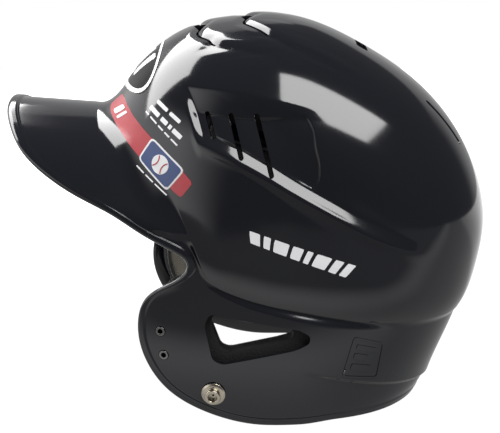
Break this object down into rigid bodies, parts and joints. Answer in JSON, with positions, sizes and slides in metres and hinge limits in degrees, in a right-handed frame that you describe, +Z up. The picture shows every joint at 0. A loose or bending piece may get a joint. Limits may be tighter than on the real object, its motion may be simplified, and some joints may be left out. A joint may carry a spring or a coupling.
{
  "type": "batting helmet",
  "caption": "Moulded batting helmet with a bill, two ear flaps with ear holes, scooped side vents, layered padding, guard nuts and chin strap snaps.",
  "frame": {"origin": "bottom centre of the helmet's bounding box as it rests on its flaps and nape", "axes": "-Y towards the tip of the bill, +X to the wearer's left, +Z up"},
  "size_m": [0.1906, 0.3024, 0.2413],
  "materials": {
    "shell_plastic": "polished, near-black navy",
    "badge_film": "glossy film with a white oval ring",
    "label_film": "glossy red film",
    "impact_foam": "matte closed-cell foam",
    "pad_fabric": "brushed knit over soft foam",
    "pad_fabric_dark": "charcoal brushed knit over soft foam",
    "nickel": "plated, slightly satin"
  },
  "bodies": {
    "root": {"shell": "shell_plastic", "front_badge": "badge_film", "brow_label": "label_film", "front_foam": "impact_foam", "crown_foam": "impact_foam", "rear_foam": "impact_foam", "left_side_foam": "impact_foam", "right_side_foam": "impact_foam", "front_pad": "pad_fabric", "crown_pad": "pad_fabric_dark", "rear_pad": "pad_fabric_dark", "nape_pad": "pad_fabric", "left_side_pad": "pad_fabric_dark", "right_side_pad": "pad_fabric_dark", "left_ear_pad": "pad_fabric", "right_ear_pad": "pad_fabric", "left_guard_nut_upper": "nickel", "left_guard_nut_lower": "nickel", "left_snap_stud": "nickel", "left_snap_post": "nickel", "right_guard_nut_upper": "nickel", "right_guard_nut_lower": "nickel", "right_snap_stud": "nickel", "right_snap_post": "nickel"}
  },
  "joints": []
}
